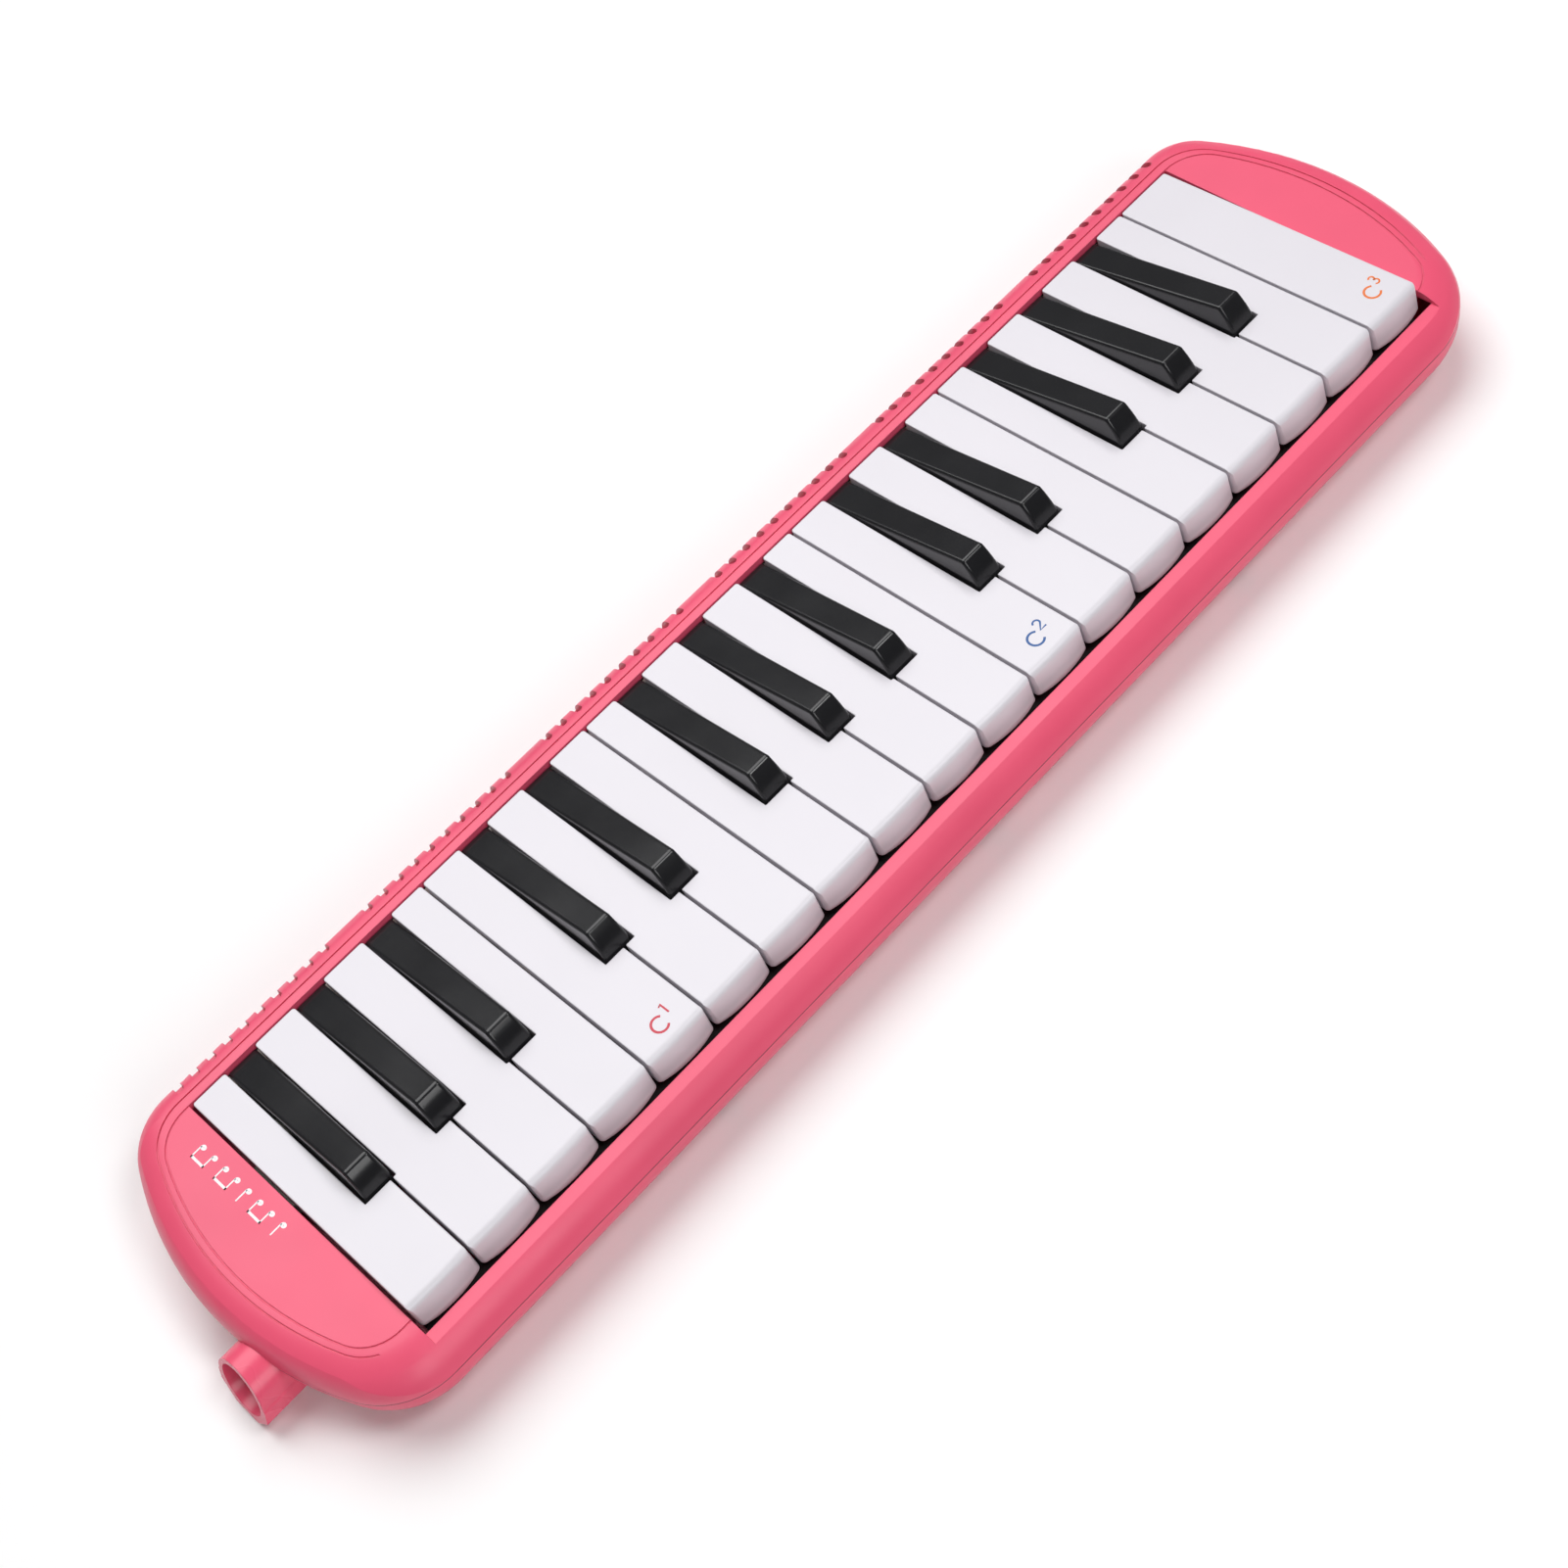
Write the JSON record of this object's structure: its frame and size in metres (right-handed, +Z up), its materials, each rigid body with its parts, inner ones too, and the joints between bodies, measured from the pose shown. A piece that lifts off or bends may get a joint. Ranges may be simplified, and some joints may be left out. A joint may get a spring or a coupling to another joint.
{
  "type": "melodica",
  "caption": "Hand-held free-reed keyboard wind instrument: hinged piano keys in a two-part moulded case with a mouthpiece socket at the bass end.",
  "frame": {"origin": "middle of the keyboard's length and of the body's depth, on the plane the underside rests on", "axes": "+X along the keyboard from the low to the high notes, +Y from the player's side to the vented rear edge, +Z up out of the key tops"},
  "size_m": [0.4389, 0.1109, 0.0345],
  "materials": {
    "case_pink": "satin gloss",
    "socket_pink": "satin gloss",
    "key_white": "satin gloss",
    "key_black": "satin",
    "drain_white": "satin",
    "inner_plastic": "moulded",
    "reed_brass": "rolled",
    "steel": "zinc plated",
    "seal_rubber": "matt",
    "felt": "felt"
  },
  "bodies": {
    "base": {"top_case": "case_pink", "bottom_case": "case_pink", "case_screws": "steel", "mouthpiece_socket": "socket_pink", "socket_ring": "seal_rubber", "air_duct": "inner_plastic", "duct_seal": "seal_rubber", "air_tray": "inner_plastic", "tray_gasket": "seal_rubber", "reed_block": "inner_plastic", "block_screws": "steel", "reed_plate_bass": "reed_brass", "reed_plate_treble": "reed_brass", "reeds": "reed_brass", "reed_rivets": "reed_brass", "plate_screws": "steel", "key_rod": "steel", "key_springs": "reed_brass", "strip_screws": "steel", "front_felt": "felt", "rear_felt": "felt", "drain_spring": "steel"},
    "white_key_01": {"white_key_01": "key_white"},
    "white_key_02": {"white_key_02": "key_white"},
    "white_key_03": {"white_key_03": "key_white"},
    "white_key_04": {"white_key_04": "key_white"},
    "white_key_05": {"white_key_05": "key_white"},
    "white_key_06": {"white_key_06": "key_white"},
    "white_key_07": {"white_key_07": "key_white"},
    "white_key_08": {"white_key_08": "key_white"},
    "white_key_09": {"white_key_09": "key_white"},
    "white_key_10": {"white_key_10": "key_white"},
    "white_key_11": {"white_key_11": "key_white"},
    "white_key_12": {"white_key_12": "key_white"},
    "white_key_13": {"white_key_13": "key_white"},
    "white_key_14": {"white_key_14": "key_white"},
    "white_key_15": {"white_key_15": "key_white"},
    "white_key_16": {"white_key_16": "key_white"},
    "white_key_17": {"white_key_17": "key_white"},
    "white_key_18": {"white_key_18": "key_white"},
    "white_key_19": {"white_key_19": "key_white"},
    "black_key_01": {"black_key_01": "key_black"},
    "black_key_02": {"black_key_02": "key_black"},
    "black_key_03": {"black_key_03": "key_black"},
    "black_key_04": {"black_key_04": "key_black"},
    "black_key_05": {"black_key_05": "key_black"},
    "black_key_06": {"black_key_06": "key_black"},
    "black_key_07": {"black_key_07": "key_black"},
    "black_key_08": {"black_key_08": "key_black"},
    "black_key_09": {"black_key_09": "key_black"},
    "black_key_10": {"black_key_10": "key_black"},
    "black_key_11": {"black_key_11": "key_black"},
    "black_key_12": {"black_key_12": "key_black"},
    "black_key_13": {"black_key_13": "key_black"},
    "drain_valve": {"drain_button": "drain_white", "drain_seal": "seal_rubber"}
  },
  "joints": [
    {"name": "white_press_01", "type": "hinge", "parent": "base", "child": "white_key_01", "pos_m": [-0.1755, 0.024, 0.019], "axis": [1, 0, 0], "range_deg": [0, 3.4], "stiffness_Nm_per_rad": 0.4, "springref_deg": -5.73},
    {"name": "white_press_02", "type": "hinge", "parent": "base", "child": "white_key_02", "pos_m": [-0.156, 0.024, 0.019], "axis": [1, 0, 0], "range_deg": [0, 3.4], "stiffness_Nm_per_rad": 0.4, "springref_deg": -5.73},
    {"name": "white_press_03", "type": "hinge", "parent": "base", "child": "white_key_03", "pos_m": [-0.1365, 0.024, 0.019], "axis": [1, 0, 0], "range_deg": [0, 3.4], "stiffness_Nm_per_rad": 0.4, "springref_deg": -5.73},
    {"name": "white_press_04", "type": "hinge", "parent": "base", "child": "white_key_04", "pos_m": [-0.117, 0.024, 0.019], "axis": [1, 0, 0], "range_deg": [0, 3.4], "stiffness_Nm_per_rad": 0.4, "springref_deg": -5.73},
    {"name": "white_press_05", "type": "hinge", "parent": "base", "child": "white_key_05", "pos_m": [-0.0975, 0.024, 0.019], "axis": [1, 0, 0], "range_deg": [0, 3.4], "stiffness_Nm_per_rad": 0.4, "springref_deg": -5.73},
    {"name": "white_press_06", "type": "hinge", "parent": "base", "child": "white_key_06", "pos_m": [-0.078, 0.024, 0.019], "axis": [1, 0, 0], "range_deg": [0, 3.4], "stiffness_Nm_per_rad": 0.4, "springref_deg": -5.73},
    {"name": "white_press_07", "type": "hinge", "parent": "base", "child": "white_key_07", "pos_m": [-0.0585, 0.024, 0.019], "axis": [1, 0, 0], "range_deg": [0, 3.4], "stiffness_Nm_per_rad": 0.4, "springref_deg": -5.73},
    {"name": "white_press_08", "type": "hinge", "parent": "base", "child": "white_key_08", "pos_m": [-0.039, 0.024, 0.019], "axis": [1, 0, 0], "range_deg": [0, 3.4], "stiffness_Nm_per_rad": 0.4, "springref_deg": -5.73},
    {"name": "white_press_09", "type": "hinge", "parent": "base", "child": "white_key_09", "pos_m": [-0.0195, 0.024, 0.019], "axis": [1, 0, 0], "range_deg": [0, 3.4], "stiffness_Nm_per_rad": 0.4, "springref_deg": -5.73},
    {"name": "white_press_10", "type": "hinge", "parent": "base", "child": "white_key_10", "pos_m": [0, 0.024, 0.019], "axis": [1, 0, 0], "range_deg": [0, 3.4], "stiffness_Nm_per_rad": 0.4, "springref_deg": -5.73},
    {"name": "white_press_11", "type": "hinge", "parent": "base", "child": "white_key_11", "pos_m": [0.0195, 0.024, 0.019], "axis": [1, 0, 0], "range_deg": [0, 3.4], "stiffness_Nm_per_rad": 0.4, "springref_deg": -5.73},
    {"name": "white_press_12", "type": "hinge", "parent": "base", "child": "white_key_12", "pos_m": [0.039, 0.024, 0.019], "axis": [1, 0, 0], "range_deg": [0, 3.4], "stiffness_Nm_per_rad": 0.4, "springref_deg": -5.73},
    {"name": "white_press_13", "type": "hinge", "parent": "base", "child": "white_key_13", "pos_m": [0.0585, 0.024, 0.019], "axis": [1, 0, 0], "range_deg": [0, 3.4], "stiffness_Nm_per_rad": 0.4, "springref_deg": -5.73},
    {"name": "white_press_14", "type": "hinge", "parent": "base", "child": "white_key_14", "pos_m": [0.078, 0.024, 0.019], "axis": [1, 0, 0], "range_deg": [0, 3.4], "stiffness_Nm_per_rad": 0.4, "springref_deg": -5.73},
    {"name": "white_press_15", "type": "hinge", "parent": "base", "child": "white_key_15", "pos_m": [0.0975, 0.024, 0.019], "axis": [1, 0, 0], "range_deg": [0, 3.4], "stiffness_Nm_per_rad": 0.4, "springref_deg": -5.73},
    {"name": "white_press_16", "type": "hinge", "parent": "base", "child": "white_key_16", "pos_m": [0.117, 0.024, 0.019], "axis": [1, 0, 0], "range_deg": [0, 3.4], "stiffness_Nm_per_rad": 0.4, "springref_deg": -5.73},
    {"name": "white_press_17", "type": "hinge", "parent": "base", "child": "white_key_17", "pos_m": [0.1365, 0.024, 0.019], "axis": [1, 0, 0], "range_deg": [0, 3.4], "stiffness_Nm_per_rad": 0.4, "springref_deg": -5.73},
    {"name": "white_press_18", "type": "hinge", "parent": "base", "child": "white_key_18", "pos_m": [0.156, 0.024, 0.019], "axis": [1, 0, 0], "range_deg": [0, 3.4], "stiffness_Nm_per_rad": 0.4, "springref_deg": -5.73},
    {"name": "white_press_19", "type": "hinge", "parent": "base", "child": "white_key_19", "pos_m": [0.1755, 0.024, 0.019], "axis": [1, 0, 0], "range_deg": [0, 3.4], "stiffness_Nm_per_rad": 0.4, "springref_deg": -5.73},
    {"name": "black_press_01", "type": "hinge", "parent": "base", "child": "black_key_01", "pos_m": [-0.16925, 0.024, 0.019], "axis": [1, 0, 0], "range_deg": [0, 4.2], "stiffness_Nm_per_rad": 0.4, "springref_deg": -5.73},
    {"name": "black_press_02", "type": "hinge", "parent": "base", "child": "black_key_02", "pos_m": [-0.14625, 0.024, 0.019], "axis": [1, 0, 0], "range_deg": [0, 4.2], "stiffness_Nm_per_rad": 0.4, "springref_deg": -5.73},
    {"name": "black_press_03", "type": "hinge", "parent": "base", "child": "black_key_03", "pos_m": [-0.12295, 0.024, 0.019], "axis": [1, 0, 0], "range_deg": [0, 4.2], "stiffness_Nm_per_rad": 0.4, "springref_deg": -5.73},
    {"name": "black_press_04", "type": "hinge", "parent": "base", "child": "black_key_04", "pos_m": [-0.08925, 0.024, 0.019], "axis": [1, 0, 0], "range_deg": [0, 4.2], "stiffness_Nm_per_rad": 0.4, "springref_deg": -5.73},
    {"name": "black_press_05", "type": "hinge", "parent": "base", "child": "black_key_05", "pos_m": [-0.06665, 0.024, 0.019], "axis": [1, 0, 0], "range_deg": [0, 4.2], "stiffness_Nm_per_rad": 0.4, "springref_deg": -5.73},
    {"name": "black_press_06", "type": "hinge", "parent": "base", "child": "black_key_06", "pos_m": [-0.03275, 0.024, 0.019], "axis": [1, 0, 0], "range_deg": [0, 4.2], "stiffness_Nm_per_rad": 0.4, "springref_deg": -5.73},
    {"name": "black_press_07", "type": "hinge", "parent": "base", "child": "black_key_07", "pos_m": [-0.00975, 0.024, 0.019], "axis": [1, 0, 0], "range_deg": [0, 4.2], "stiffness_Nm_per_rad": 0.4, "springref_deg": -5.73},
    {"name": "black_press_08", "type": "hinge", "parent": "base", "child": "black_key_08", "pos_m": [0.01355, 0.024, 0.019], "axis": [1, 0, 0], "range_deg": [0, 4.2], "stiffness_Nm_per_rad": 0.4, "springref_deg": -5.73},
    {"name": "black_press_09", "type": "hinge", "parent": "base", "child": "black_key_09", "pos_m": [0.04725, 0.024, 0.019], "axis": [1, 0, 0], "range_deg": [0, 4.2], "stiffness_Nm_per_rad": 0.4, "springref_deg": -5.73},
    {"name": "black_press_10", "type": "hinge", "parent": "base", "child": "black_key_10", "pos_m": [0.06985, 0.024, 0.019], "axis": [1, 0, 0], "range_deg": [0, 4.2], "stiffness_Nm_per_rad": 0.4, "springref_deg": -5.73},
    {"name": "black_press_11", "type": "hinge", "parent": "base", "child": "black_key_11", "pos_m": [0.10375, 0.024, 0.019], "axis": [1, 0, 0], "range_deg": [0, 4.2], "stiffness_Nm_per_rad": 0.4, "springref_deg": -5.73},
    {"name": "black_press_12", "type": "hinge", "parent": "base", "child": "black_key_12", "pos_m": [0.12675, 0.024, 0.019], "axis": [1, 0, 0], "range_deg": [0, 4.2], "stiffness_Nm_per_rad": 0.4, "springref_deg": -5.73},
    {"name": "black_press_13", "type": "hinge", "parent": "base", "child": "black_key_13", "pos_m": [0.15005, 0.024, 0.019], "axis": [1, 0, 0], "range_deg": [0, 4.2], "stiffness_Nm_per_rad": 0.4, "springref_deg": -5.73},
    {"name": "drain_push", "type": "slide", "parent": "base", "child": "drain_valve", "axis": [0, 0, 1], "range_m": [0, 0.001], "stiffness_N_per_m": 400, "springref_m": -0.002, "deforming": ["drain_spring"]}
  ]
}
